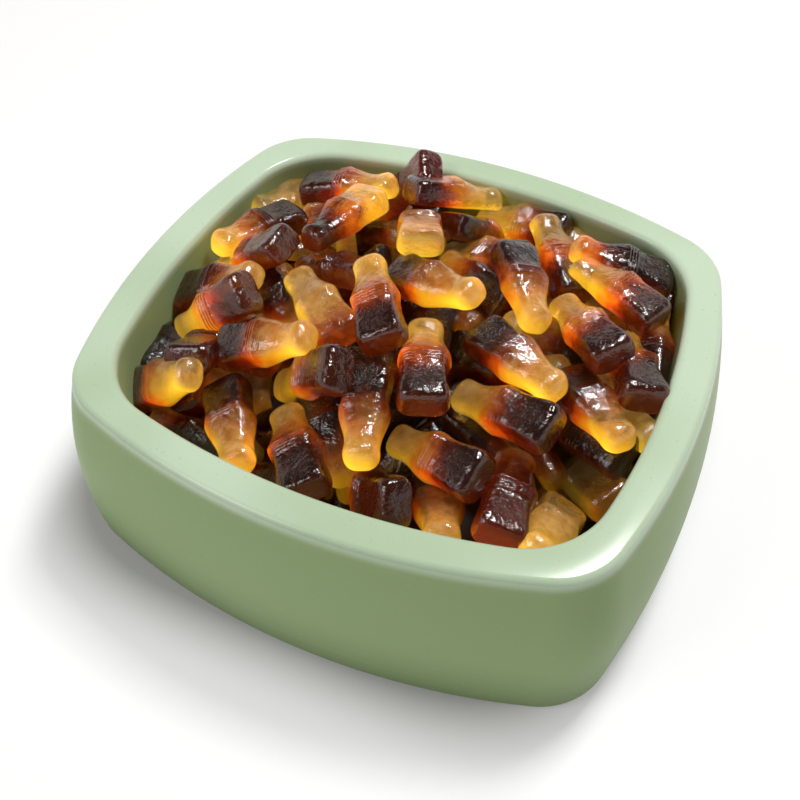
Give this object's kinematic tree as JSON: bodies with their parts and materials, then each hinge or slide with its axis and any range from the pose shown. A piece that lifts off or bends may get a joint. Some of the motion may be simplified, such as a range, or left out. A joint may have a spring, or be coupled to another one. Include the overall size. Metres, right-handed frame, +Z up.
{
  "type": "bowl of gummy cola bottles",
  "caption": "Thick-rimmed glazed bowl, square in plan with bowed sides, heaped with two-tone bottle-shaped gummy sweets.",
  "frame": {"origin": "centre of the bowl's flat underside", "axes": "+Z up, +X to the right along the front wall, -Y towards the front wall, which is the long side that the picture shows"},
  "size_m": [0.1938, 0.1768, 0.0742],
  "materials": {
    "sage_glaze": "satin sage-green glaze on thick ceramic",
    "cola_jelly": "translucent jelly, amber at the neck and dark brown in the body, with a soft oiled sheen"
  },
  "bodies": {
    "root": {"bowl": "sage_glaze", "gummy_heap": "cola_jelly"}
  },
  "joints": []
}
